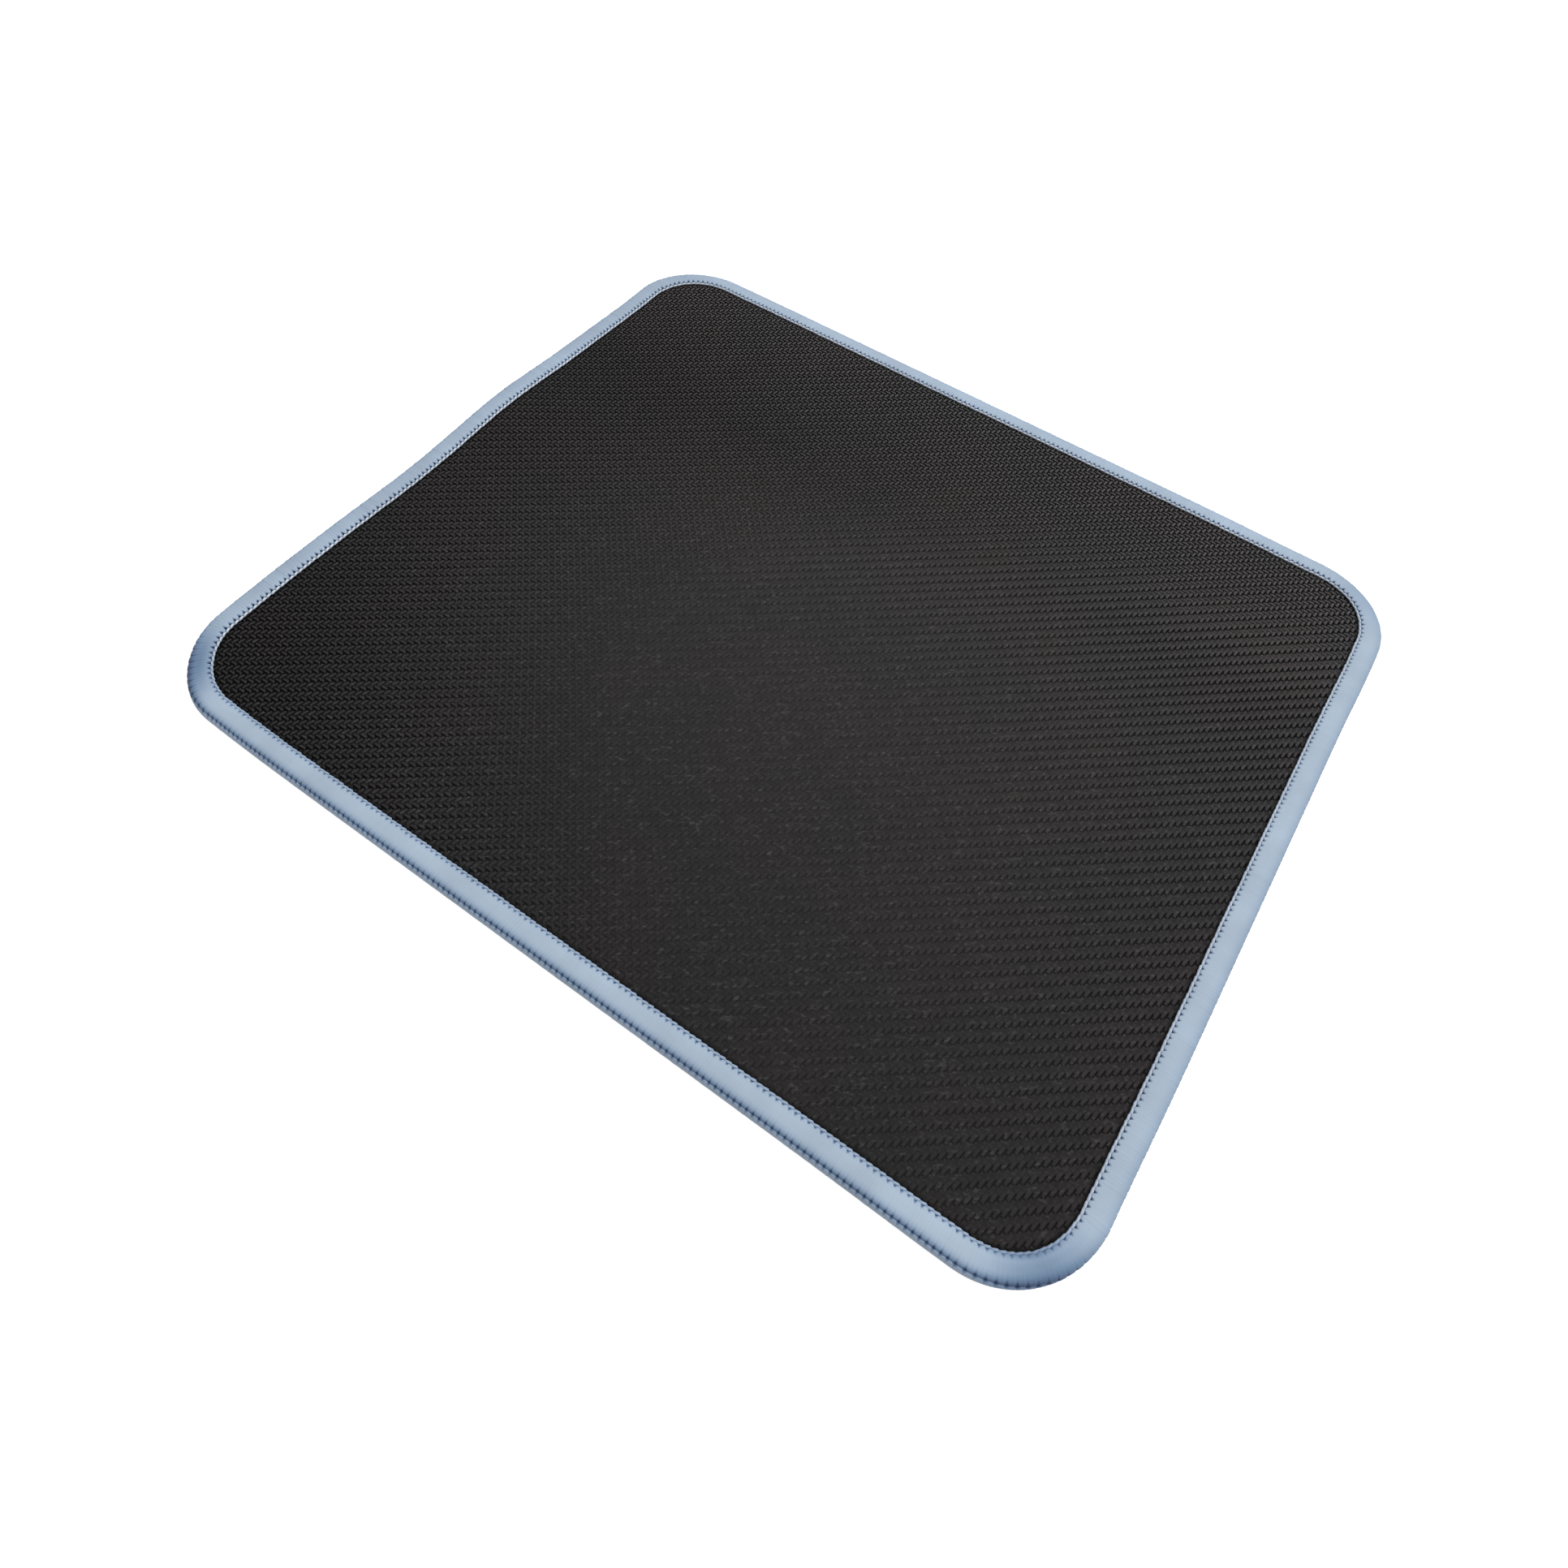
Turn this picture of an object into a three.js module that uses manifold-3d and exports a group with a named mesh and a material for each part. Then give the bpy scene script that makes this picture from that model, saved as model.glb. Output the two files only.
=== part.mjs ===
// Mouse pad: woven cloth bonded to a rubber base, with a three-thread overedge-stitched rim.
// Millimetres, +Z up. The origin is on the desk, under the centre of the pad.

import * as THREE from 'three';
import { mergeVertices } from 'three/addons/utils/BufferGeometryUtils.js';
import Module from 'manifold-3d';

// Overall size, measured over the stitched rim
const PAD_LENGTH = 250;
const PAD_DEPTH = 216;
const CORNER_RADIUS = 23;

// Layers of the laminate, from the desk up
const RUBBER_THICKNESS = 2.5;
const FILM_THICKNESS = 0.15;
const CLOTH_THICKNESS = 0.6;

// Looper threads, which wrap the cut edge of the laminate
const STITCH_WIDTH = 6.5;
const TOP_COVER = 0.9;
const UNDER_COVER = 0.5;
const EDGE_COVER = 0.8;
const PURL_DROP = 1.5;

// Needle thread, which runs inside the loopers and ties through the laminate
const NEEDLE_RUN_WIDTH = 0.8;
const NEEDLE_RUN_HEIGHT = 0.55;
const TIE_WIDTH = 0.5;
const STITCH_PITCH = 1.52;
const STITCHES_PER_TIE = 12;

// Clearances beside threads and round ties
const THREAD_GAP = 0.2;
const TIE_GAP = 0.3;

// Facets of each rounded corner and of the rounded edge
const CORNER_STEPS = 12;
const EDGE_STEPS = 12;
const CROWN_STEPS = 4;

const THREAD_COLOUR = 0x9fb2c5;
const CLOTH_COLOUR = 0x313031;
const FILM_COLOUR = 0xd9d5c9;
const RUBBER_COLOUR = 0x1d1d1e;

// Heights of the faces where the layers meet
const filmBottom = RUBBER_THICKNESS;
const clothBottom = filmBottom + FILM_THICKNESS;
const clothTop = clothBottom + CLOTH_THICKNESS;
const rimTop = clothTop + TOP_COVER;
const edgeRadius = rimTop / 2;
const purlHeight = rimTop - PURL_DROP;

// Distances in from the outer edge of the rim
const laminateInset = EDGE_COVER + THREAD_GAP;
const needleOuterInset = STITCH_WIDTH - NEEDLE_RUN_WIDTH;
const needleMiddleInset = STITCH_WIDTH - NEEDLE_RUN_WIDTH / 2;
const looperInnerInset = needleOuterInset - THREAD_GAP;
const rebateInset = STITCH_WIDTH + THREAD_GAP;

const wasm = await Module();
wasm.setup();

// Points of the pad's rounded outline at a distance in from the outer edge, anticlockwise from above
function outline(inset) {
  const points = [];
  const quarter = Math.PI / 2;
  for (let corner = 0; corner < 4; corner += 1) {
    const sideX = corner === 0 || corner === 1 ? 1 : -1;
    const sideY = corner === 1 || corner === 2 ? 1 : -1;
    const centreX = sideX * (PAD_LENGTH / 2 - CORNER_RADIUS);
    const centreY = sideY * (PAD_DEPTH / 2 - CORNER_RADIUS);
    for (let step = 0; step <= CORNER_STEPS; step += 1) {
      const angle = quarter * (corner - 1 + step / CORNER_STEPS);
      const reach = CORNER_RADIUS - inset;
      const x = centreX + reach * Math.cos(angle);
      const y = centreY + reach * Math.sin(angle);
      points.push(new THREE.Vector2(x, y));
    }
  }
  return points;
}

// Closed ring that sweeps a section round the rim; section points are (inset, height), anticlockwise
function rimRing(section) {
  const rails = section.map((point) => outline(point.x));
  const stations = rails[0].length;
  const positions = [];
  for (let station = 0; station < stations; station += 1) {
    section.forEach((point, k) => {
      positions.push(rails[k][station].x, rails[k][station].y, point.y);
    });
  }
  const index = [];
  for (let station = 0; station < stations; station += 1) {
    const here = station * section.length;
    const next = ((station + 1) % stations) * section.length;
    for (let k = 0; k < section.length; k += 1) {
      const m = (k + 1) % section.length;
      index.push(here + k, here + m, next + m);
      index.push(here + k, next + m, next + k);
    }
  }
  const geometry = new THREE.BufferGeometry();
  geometry.setAttribute('position', new THREE.Float32BufferAttribute(positions, 3));
  geometry.setIndex(index);
  return geometry;
}

// Flat plate with the pad's outline, standing on z = 0
function plate(inset, thickness) {
  const shape = new THREE.Shape(outline(inset));
  return new THREE.ExtrudeGeometry(shape, { depth: thickness, bevelEnabled: false });
}

// Square posts of a given width, one where each tie of the needle thread goes through the laminate
function tiePosts(width, bottom, top) {
  const line = new THREE.Path(outline(needleMiddleInset));
  line.closePath();
  const ties = Math.round(line.getLength() / (STITCH_PITCH * STITCHES_PER_TIE));
  const posts = [];
  for (let tie = 0; tie < ties; tie += 1) {
    const centre = line.getPoint(tie / ties);
    const along = line.getTangent(tie / ties);
    const post = new THREE.BoxGeometry(width, width, top - bottom);
    post.rotateZ(along.angle());
    post.translate(centre.x, centre.y, (bottom + top) / 2);
    posts.push(post);
  }
  return posts;
}

function solidOf(geometry) {
  const bare = geometry.clone();
  bare.deleteAttribute('normal');
  bare.deleteAttribute('uv');
  const merged = mergeVertices(bare);
  return new wasm.Manifold(new wasm.Mesh({
    numProp: 3,
    vertProperties: new Float32Array(merged.attributes.position.array),
    triVerts: new Uint32Array(merged.index.array),
  }));
}

function geometryOf(solid) {
  const mesh = solid.getMesh();
  const geometry = new THREE.BufferGeometry();
  geometry.setAttribute('position', new THREE.BufferAttribute(mesh.vertProperties, 3));
  geometry.setIndex(new THREE.BufferAttribute(mesh.triVerts, 1));
  return geometry;
}

// One closed solid from several geometries that overlap
function joined(geometries) {
  return geometries.map(solidOf).reduce((sum, solid) => sum.add(solid));
}

// A layer of the laminate with a hole for each tie
function pierced(layer) {
  const posts = tiePosts(TIE_WIDTH + 2 * TIE_GAP, -rimTop, 2 * rimTop);
  return geometryOf(layer.subtract(joined(posts)));
}

// Points up the rounded outer edge of the rim, between two heights
function edgeArc(fromHeight, toHeight) {
  const heights = [fromHeight];
  for (let step = 1; step < EDGE_STEPS; step += 1) {
    const angle = Math.PI * (step / EDGE_STEPS - 0.5);
    const height = edgeRadius + edgeRadius * Math.sin(angle);
    if (height > fromHeight && height < toHeight) heights.push(height);
  }
  heights.push(toHeight);
  return heights.map((height) => {
    const inset = edgeRadius - Math.sqrt(edgeRadius ** 2 - (height - edgeRadius) ** 2);
    return new THREE.Vector2(inset, height);
  });
}

// Rubber base, stepped up under the stitching so that the rim and the base both lie on the desk
function rubberBase() {
  const stepped = plate(laminateInset, RUBBER_THICKNESS - UNDER_COVER);
  stepped.translate(0, 0, UNDER_COVER);
  return pierced(joined([plate(rebateInset, RUBBER_THICKNESS), stepped]));
}

// Adhesive film between the rubber and the cloth
function bondFilm() {
  return pierced(solidOf(plate(laminateInset, FILM_THICKNESS)));
}

// Woven cloth, the face that the mouse runs on
function clothSheet() {
  return pierced(solidOf(plate(laminateInset, CLOTH_THICKNESS)));
}

// Upper looper thread: over the cloth from the needle line, and down the edge to the purl line
function upperLooper() {
  const section = [
    new THREE.Vector2(EDGE_COVER, purlHeight),
    new THREE.Vector2(EDGE_COVER, clothTop),
    new THREE.Vector2(looperInnerInset, clothTop),
  ];
  for (let step = CROWN_STEPS; step > 0; step -= 1) {
    const share = step / CROWN_STEPS;
    const inset = edgeRadius + (looperInnerInset - edgeRadius) * share;
    const fall = (TOP_COVER - NEEDLE_RUN_HEIGHT) * share ** 2;
    section.push(new THREE.Vector2(inset, rimTop - fall));
  }
  section.push(...edgeArc(purlHeight, rimTop).reverse());
  return rimRing(section);
}

// Lower looper thread: from the purl line down the edge, and back under the rubber
function lowerLooper() {
  const section = [
    new THREE.Vector2(looperInnerInset, 0),
    new THREE.Vector2(looperInnerInset, UNDER_COVER),
    new THREE.Vector2(EDGE_COVER, UNDER_COVER),
    new THREE.Vector2(EDGE_COVER, purlHeight),
  ];
  section.push(...edgeArc(0, purlHeight).reverse());
  return rimRing(section);
}

// Needle thread: a run on the cloth, a run under the rubber, and ties through the laminate
function needleThread() {
  const runSlope = NEEDLE_RUN_WIDTH / 4;
  const topRun = rimRing([
    new THREE.Vector2(needleOuterInset, clothTop),
    new THREE.Vector2(STITCH_WIDTH, clothTop),
    new THREE.Vector2(STITCH_WIDTH, clothTop + NEEDLE_RUN_HEIGHT / 2),
    new THREE.Vector2(STITCH_WIDTH - runSlope, clothTop + NEEDLE_RUN_HEIGHT),
    new THREE.Vector2(needleOuterInset + runSlope, clothTop + NEEDLE_RUN_HEIGHT),
    new THREE.Vector2(needleOuterInset, clothTop + NEEDLE_RUN_HEIGHT / 2),
  ]);
  const underRun = rimRing([
    new THREE.Vector2(needleOuterInset, 0),
    new THREE.Vector2(STITCH_WIDTH, 0),
    new THREE.Vector2(STITCH_WIDTH, UNDER_COVER),
    new THREE.Vector2(needleOuterInset, UNDER_COVER),
  ]);
  const ties = tiePosts(TIE_WIDTH, UNDER_COVER / 2, clothTop + NEEDLE_RUN_HEIGHT / 2);
  return geometryOf(joined([topRun, underRun, ...ties]));
}

function piece(name, geometry, colour, roughness, height) {
  const material = new THREE.MeshStandardMaterial({ color: colour, roughness, metalness: 0 });
  const mesh = new THREE.Mesh(geometry, material);
  mesh.name = name;
  mesh.position.z = height;
  return mesh;
}

const pad = new THREE.Group();
pad.add(
  piece('rubber_base', rubberBase(), RUBBER_COLOUR, 0.85, 0),
  piece('bond_film', bondFilm(), FILM_COLOUR, 0.5, filmBottom),
  piece('cloth_top', clothSheet(), CLOTH_COLOUR, 0.9, clothBottom),
  piece('needle_thread', needleThread(), THREAD_COLOUR, 0.75, 0),
  piece('upper_looper_thread', upperLooper(), THREAD_COLOUR, 0.75, 0),
  piece('lower_looper_thread', lowerLooper(), THREAD_COLOUR, 0.75, 0),
);

export default pad;
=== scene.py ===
import math

import bpy
import numpy as np
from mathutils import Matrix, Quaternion, Vector


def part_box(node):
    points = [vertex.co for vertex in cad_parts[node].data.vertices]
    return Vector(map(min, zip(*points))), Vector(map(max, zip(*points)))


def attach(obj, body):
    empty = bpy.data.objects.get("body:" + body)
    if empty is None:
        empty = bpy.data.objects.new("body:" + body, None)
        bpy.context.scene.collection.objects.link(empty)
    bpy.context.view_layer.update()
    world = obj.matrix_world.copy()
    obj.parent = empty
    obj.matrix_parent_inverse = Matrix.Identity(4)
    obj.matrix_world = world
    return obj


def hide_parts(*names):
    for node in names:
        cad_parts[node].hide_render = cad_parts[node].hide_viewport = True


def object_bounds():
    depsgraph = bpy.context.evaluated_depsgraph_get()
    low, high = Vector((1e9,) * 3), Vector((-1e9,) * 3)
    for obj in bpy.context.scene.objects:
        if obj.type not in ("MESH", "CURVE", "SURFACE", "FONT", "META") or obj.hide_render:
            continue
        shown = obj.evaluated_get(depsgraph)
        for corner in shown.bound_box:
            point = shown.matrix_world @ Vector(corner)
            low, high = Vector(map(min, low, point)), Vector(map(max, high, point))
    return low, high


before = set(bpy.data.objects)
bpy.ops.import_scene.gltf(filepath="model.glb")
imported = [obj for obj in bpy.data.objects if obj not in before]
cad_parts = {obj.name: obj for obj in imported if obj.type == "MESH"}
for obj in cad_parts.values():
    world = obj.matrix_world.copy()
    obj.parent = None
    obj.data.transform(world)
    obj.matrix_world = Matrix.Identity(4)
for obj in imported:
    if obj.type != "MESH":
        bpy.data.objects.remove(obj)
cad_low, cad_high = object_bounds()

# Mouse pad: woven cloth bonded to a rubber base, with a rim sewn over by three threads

MM = 0.001
TINY = 1e-9
SEED = 11

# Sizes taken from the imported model
HALF = np.array([cad_high.x, cad_high.y])
cloth_low, cloth_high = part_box("cloth_top")
film_low, film_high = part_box("bond_film")
rubber_low, rubber_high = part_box("rubber_base")
CLOTH_BOTTOM = cloth_low.z
CLOTH_TOP = cloth_high.z
LAMINATE_INSET = cad_high.x - cloth_high.x

# Rounded outline and the stitched band
CORNER_RADIUS = 23 * MM
NEEDLE_INSET = 6.2 * MM
LOOPER_INNER = 6.0 * MM
UNDER_COVER = 0.5 * MM

# How far the needle line strays inwards from its even course, by side and by corner
NEEDLE_STRAYS = {"front": 0.1 * MM, "right": 0.0, "rear": 0.0, "left": -0.05 * MM}
CORNER_NEEDLE_STRAYS = {"front": -0.4 * MM, "right": -0.45 * MM, "rear": -0.05 * MM, "left": 0.0}

# Height of the rounded edge on each side: the sewing squeezes the rear and left edges flatter
EDGE_TOPS = {"front": 4.0 * MM, "right": 3.9 * MM, "rear": 2.75 * MM, "left": 3.6 * MM}
THREAD_COVER = 0.9 * MM
SQUEEZE_INSET = 8.0 * MM

# Stitches round the rim, and the stations along each stitch
STITCHES = 560
STITCH_STEPS = 8
STATIONS = STITCHES * STITCH_STEPS

# Left edge, which stands up off the desk in a low wave
RIPPLE_LIFT = 1.4 * MM
RIPPLE_PLACE = 18 * MM
RIPPLE_LENGTH = 19 * MM
RIPPLE_DEPTH = 24 * MM

# Places where the sewing draws the edge in or lets it out: place, distance in and reach
SIDE_END = HALF - CORNER_RADIUS
CORNER_MIDDLE = HALF - CORNER_RADIUS * (1 - math.sqrt(0.5))
CORNER_REACH = 22 * MM
SIDE_REACH = 16 * MM
EDGE_DRAWS = (
    (CORNER_MIDDLE * (-1, -1), 1.17 * MM, CORNER_REACH),
    (CORNER_MIDDLE * (-1, 1), 0.36 * MM, CORNER_REACH),
    ((SIDE_END[0], HALF[1]), 0.81 * MM, CORNER_REACH),
    ((SIDE_END[0], -HALF[1]), -0.36 * MM, CORNER_REACH),
    ((HALF[0], -SIDE_END[1]), 0.45 * MM, CORNER_REACH),
    ((HALF[0], 76.5 * MM), -0.44 * MM, SIDE_REACH),
    ((-HALF[0], -23 * MM), 0.55 * MM, SIDE_REACH),
    ((-HALF[0], 75 * MM), 0.66 * MM, SIDE_REACH),
)

rng = np.random.default_rng(SEED)


def smoothstep(low, high, value):
    share = np.clip((value - low) / (high - low), 0, 1)
    return share * share * (3 - 2 * share)


def bell(distance, width):
    """1 at no distance, falling smoothly to nothing over about two widths."""
    return np.exp(-((distance / width) ** 2))


def wrapped(phase):
    """Phase of a repeat brought into -0.5 to 0.5."""
    return phase - np.round(phase)


# The pad's outline

def inset_and_outward(points):
    """How far in from the outer edge points in plan lie, and the direction out to that edge."""
    past = np.abs(points) - (HALF - CORNER_RADIUS)
    x, y = past[..., 0], past[..., 1]
    corner = (x > 0) & (y > 0)
    reach = np.where(corner, np.hypot(x, y), np.maximum(x, y))
    span = np.maximum(reach, TINY)
    outward_x = np.where(corner, x / span, x >= y)
    outward_y = np.where(corner, y / span, x < y)
    outward = np.stack([outward_x, outward_y], axis=-1) * np.where(points < 0, -1, 1)
    return CORNER_RADIUS - reach, outward


def at_inset(points, inset):
    """Points in plan moved straight out or in until they lie at an inset."""
    here, outward = inset_and_outward(points)
    return points + outward * (here - inset)[..., None]


def rim_frames():
    """Corner centre or side point, and outward direction, at each station along the needle line."""
    runs = [2 * SIDE_END[0], 2 * SIDE_END[1]] * 2
    bend = (CORNER_RADIUS - NEEDLE_INSET) * math.pi / 2
    distance = np.arange(STATIONS) / STATIONS * (sum(runs) + 4 * bend)
    base = np.zeros((STATIONS, 2))
    outward = np.zeros((STATIONS, 2))
    signs = [(-1, -1), (1, -1), (1, 1), (-1, 1)]
    start = 0
    for side, run in enumerate(runs):
        first = np.array(signs[side]) * SIDE_END
        last = np.array(signs[(side + 1) % 4]) * SIDE_END
        along = np.clip((distance - start) / run, 0, 1)[:, None]
        turn = np.clip((distance - start - run) / bend, 0, 1)
        angle = (side - 1 + turn) * math.pi / 2
        here = (distance >= start) & (distance < start + run + bend)
        base[here] = (first + (last - first) * along)[here]
        outward[here] = np.stack([np.cos(angle), np.sin(angle)], axis=1)[here]
        start += run + bend
    return base, outward


RIM_BASE, RIM_OUT = rim_frames()
STITCH = np.arange(STATIONS) // STITCH_STEPS
PHASE = (np.arange(STATIONS) % STITCH_STEPS / STITCH_STEPS)[:, None]


def by_corner(outward, values):
    """A value given for each corner, named as the camera sees it, which fades out towards the sides."""
    x, y = outward[..., 0], outward[..., 1]
    front = np.where(x < 0, values["left"], values["front"])
    rear = np.where(x < 0, values["rear"], values["right"])
    return 4 * x * x * y * y * np.where(y < 0, front, rear)


def by_side(outward, values):
    """A value given for each side, blended round the corners by the direction outward."""
    x, y = outward[..., 0], outward[..., 1]
    return (
        np.where(y < 0, y * y, 0) * values["front"] + np.where(y > 0, y * y, 0) * values["rear"]
        + np.where(x < 0, x * x, 0) * values["left"] + np.where(x > 0, x * x, 0) * values["right"]
    )


def needle_stray(outward):
    """How far in from its even course the needle line runs."""
    return by_side(outward, NEEDLE_STRAYS) + by_corner(outward, CORNER_NEEDLE_STRAYS)


def thickness_share(inset, outward):
    """Thickness of the layers as a share of the middle: less at the edge, where the thread is tight."""
    at_edge = (by_side(outward, EDGE_TOPS) - THREAD_COVER) / CLOTH_TOP
    return 1 - (1 - at_edge) * (1 - smoothstep(LAMINATE_INSET, SQUEEZE_INSET, inset))


def squeezed(points):
    """Points of a layer, thinned towards the edge."""
    moved = points.copy()
    moved[:, 2] *= thickness_share(*inset_and_outward(points[:, :2]))
    return moved


def settled(points):
    """Points as the pad lies: its left edge a little raised, its edge drawn in here and there."""
    moved = points.copy()
    along_edge = bell(points[:, 1] - RIPPLE_PLACE, RIPPLE_LENGTH)
    from_edge = bell(points[:, 0] + HALF[0], RIPPLE_DEPTH)
    moved[:, 2] += RIPPLE_LIFT * along_edge * from_edge
    for place, amount, reach in EDGE_DRAWS:
        near = bell(np.linalg.norm(moved[:, :2] - place, axis=1), reach)
        moved[:, :2] -= amount * near[:, None] * place / np.linalg.norm(place)
    return moved


# Meshes

BAKE_ROWS = 8
BAKE_MARGIN = 0.04

# Rings of points on the hidden face of a layer, as shares of the way out from its centre
HIDDEN_SHARES = (0.94, 0.88, 0.8, 0.7, 0.5)


def mesh_piece(name, vertices, faces, node, material):
    """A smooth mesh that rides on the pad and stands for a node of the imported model."""
    mesh = bpy.data.meshes.new(name)
    mesh.from_pydata(settled(vertices).tolist(), [], faces.tolist())
    mesh.polygons.foreach_set("use_smooth", np.ones(len(mesh.polygons), dtype=bool))
    mesh.materials.append(material)
    mesh.update()
    piece = bpy.data.objects.new(name, mesh)
    bpy.context.scene.collection.objects.link(piece)
    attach(piece, "root")
    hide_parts(node)
    return piece


def set_attribute(piece, name, values, domain):
    layer = piece.data.attributes.new(name, "FLOAT", domain)
    layer.data.foreach_set("value", np.asarray(values, dtype=np.float32).ravel())


def set_map(piece, name, places):
    """A UV map with one place per face corner."""
    layer = piece.data.uv_layers.new(name=name)
    layer.data.foreach_set("uv", np.asarray(places, dtype=np.float32).ravel())


def swept(insets, heights):
    """Points of sections (station, point) carried round the rim."""
    plan = RIM_BASE[:, None] + RIM_OUT[:, None] * (CORNER_RADIUS - insets)[..., None]
    return np.concatenate([plan, heights[..., None]], axis=-1)


def ring_faces(sides):
    """Quads of a ring whose section closes on itself, with station and side of each corner."""
    station, side = np.meshgrid(np.arange(STATIONS), np.arange(sides), indexing="ij")
    stations = np.stack([station, station + 1, station + 1, station], axis=-1).reshape(-1, 4)
    around = np.stack([side, side, side + 1, side + 1], axis=-1).reshape(-1, 4)
    faces = stations % STATIONS * sides + around % sides
    return faces, stations, around


def ring_maps(rows, stations, around, share, shares):
    """Places of a ring's face corners: along and across the rim, and in its share of the bake map."""
    sides = rows.shape[1]
    steps = np.linalg.norm(np.diff(rows, axis=1, append=rows[:, :1]), axis=-1).mean(axis=0)
    across = np.concatenate([[0], np.cumsum(steps)])
    rim = np.stack([stations / STITCH_STEPS, across[around] / MM], axis=-1)
    per_row = STATIONS / BAKE_ROWS
    row = stations[:, :1] // per_row
    within = (share + BAKE_MARGIN + (1 - 2 * BAKE_MARGIN) * around / sides) / shares
    bake = np.stack([(stations - row * per_row) / per_row, (row + within) / BAKE_ROWS], axis=-1)
    return rim, bake


def ring_piece(name, runs, node, material):
    """Closed rings round the rim, each from rows of points (station, point, xyz) and their painted shade.
    """
    parts = []
    count = 0
    for share, (rows, painted_shade) in enumerate(runs):
        faces, stations, around = ring_faces(rows.shape[1])
        rim, bake = ring_maps(rows, stations, around, share, len(runs))
        parts.append((rows.reshape(-1, 3), faces + count, painted_shade.ravel(), rim, bake))
        count += rows.shape[0] * rows.shape[1]
    vertices, faces, painted_shades, rim, bake = (np.concatenate(part) for part in zip(*parts))
    piece = mesh_piece(name, vertices, faces, node, material)
    set_attribute(piece, "painted_shade", painted_shades, "POINT")
    set_map(piece, "Rim", rim)
    set_map(piece, "OFBake", bake)
    return piece


def inside_outline(points, triangles, inset):
    """A flat mesh cut to the outline at an inset, its drawn-in points, and the points and faces used."""
    here, _ = inset_and_outward(points[:, :2])
    outside = here < inset
    kept = ~outside[triangles].all(axis=1)
    used, index = np.unique(triangles[kept], return_inverse=True)
    points = points[used]
    outside = outside[used]
    points[outside, :2] = at_inset(points[outside, :2], inset)
    return points, index.reshape(-1, 3), outside, used, kept


def open_edges(triangles):
    """Edges with one face, in that face's direction."""
    start = triangles.ravel()
    end = np.roll(triangles, -1, axis=1).ravel()
    keys = np.minimum(start, end) * (triangles.max() + 1) + np.maximum(start, end)
    _, first, uses = np.unique(keys, return_index=True, return_counts=True)
    single = first[uses == 1]
    return np.column_stack([start[single], end[single]])


def closed_by_rings(points, triangles, rings):
    """The mesh closed: walls through rings (inset, height), then a flat face drawn in to the centre."""
    loop, edges = np.unique(open_edges(triangles), return_inverse=True)
    start, end = edges.reshape(-1, 2).T
    layers = [points[loop]]
    for inset, height in rings:
        plan = at_inset(layers[0][:, :2], inset)
        layers.append(np.column_stack([plan, np.full(len(loop), height)]))
    last = layers[-1]
    for share in HIDDEN_SHARES:
        layers.append(np.column_stack([last[:, :2] * share, last[:, 2]]))
    faces = [triangles]
    here = loop
    count = len(points)
    for layer in layers[1:]:
        beyond = np.arange(len(layer)) + count
        count += len(layer)
        faces.append(np.column_stack([here[end], here[start], beyond[start]]))
        faces.append(np.column_stack([here[end], beyond[start], beyond[end]]))
        here = beyond
    faces.append(np.column_stack([here[end], here[start], np.full(len(start), count)]))
    centre = np.array([[0, 0, last[0, 2]]])
    return np.concatenate([points, *layers[1:], centre]), np.concatenate(faces)


# Materials

def grey(level):
    return (level, level, level)


PALE_BLUE = (0.452, 0.556, 0.675)
# The thread under the edge: the pale blue made lighter, as painted light on thread that faces down
LIT_UNDER_BLUE = (0.52, 0.62, 0.74)
NEEDLE_BLUE = (0.78, 0.83, 0.9)
YARN_BLACK = (0.03, 0.03, 0.03)
RUBBER_BLACK = (0.012, 0.012, 0.0125)
FILM_CREAM = (0.69, 0.66, 0.58)

# Painted shade by how deep in a fold of the thread; the yarn's own colour with painted sheen, lighter
# towards the back of the cloth; and painted shade by how deep in a gap of the weave
FOLD_SHADES = (
    (0.0, (1, 1, 1)),
    (0.15, (0.71, 0.76, 0.83)),
    (0.3, (0.44, 0.54, 0.66)),
    (0.65, (0.09, 0.15, 0.29)),
    (1.0, (0.008, 0.01, 0.022)),
)
YARN_AND_SHEEN_TINTS = (
    (0.0, (0.027, 0.027, 0.0275)),
    (0.5, (0.04, 0.04, 0.0405)),
    (0.62, (0.0455, 0.045, 0.0455)),
    (0.74, (0.049, 0.048, 0.0485)),
    (0.85, (0.066, 0.065, 0.0655)),
    (1.0, (0.09, 0.0885, 0.0895)),
)
GAP_SHADES = (
    (0.0, grey(1)),
    (0.15, grey(0.72)),
    (0.3, grey(0.47)),
    (0.5, grey(0.23)),
    (0.75, grey(0.08)),
    (1.0, grey(0.01)),
)

# Painted glints, where yarn crowns catch the light along the diagonal of the weave, and the finer fibres of
# each yarn
TWILL_ANGLE = math.radians(36)
GLINT_SIZE = (1.5 * MM, 0.7 * MM, 0.7 * MM)
GLINT_LIGHT = 0.038
WEFT_FIBRES = (700, 11000, 700)
WARP_FIBRES = (11000, 700, 700)
THREAD_FIBRES = (7, 0.3, 1)

# Darkest and lightest patches of a thread, as shares of its colour
THREAD_DARK = 0.93
THREAD_LIGHT = 1.06


def new_material(name, colour, roughness, specular):
    material = bpy.data.materials.new(name)
    material.use_nodes = True
    shader = material.node_tree.nodes["Principled BSDF"]
    shader.inputs["Base Color"].default_value = (*colour, 1)
    shader.inputs["Roughness"].default_value = roughness
    shader.inputs["Specular IOR Level"].default_value = specular
    return material, material.node_tree, shader


def add_node(tree, kind, **values):
    """A shader node with properties by name and input values by socket name."""
    node = tree.nodes.new(kind)
    for key, value in values.items():
        if key in node.inputs:
            node.inputs[key].default_value = value
        else:
            setattr(node, key, value)
    return node


def add_noise(tree, vector, scale=1.0, detail=3.0, roughness=0.55):
    node = add_node(tree, "ShaderNodeTexNoise", Scale=scale, Detail=detail, Roughness=roughness)
    tree.links.new(vector, node.inputs["Vector"])
    return node.outputs["Fac"]


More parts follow.
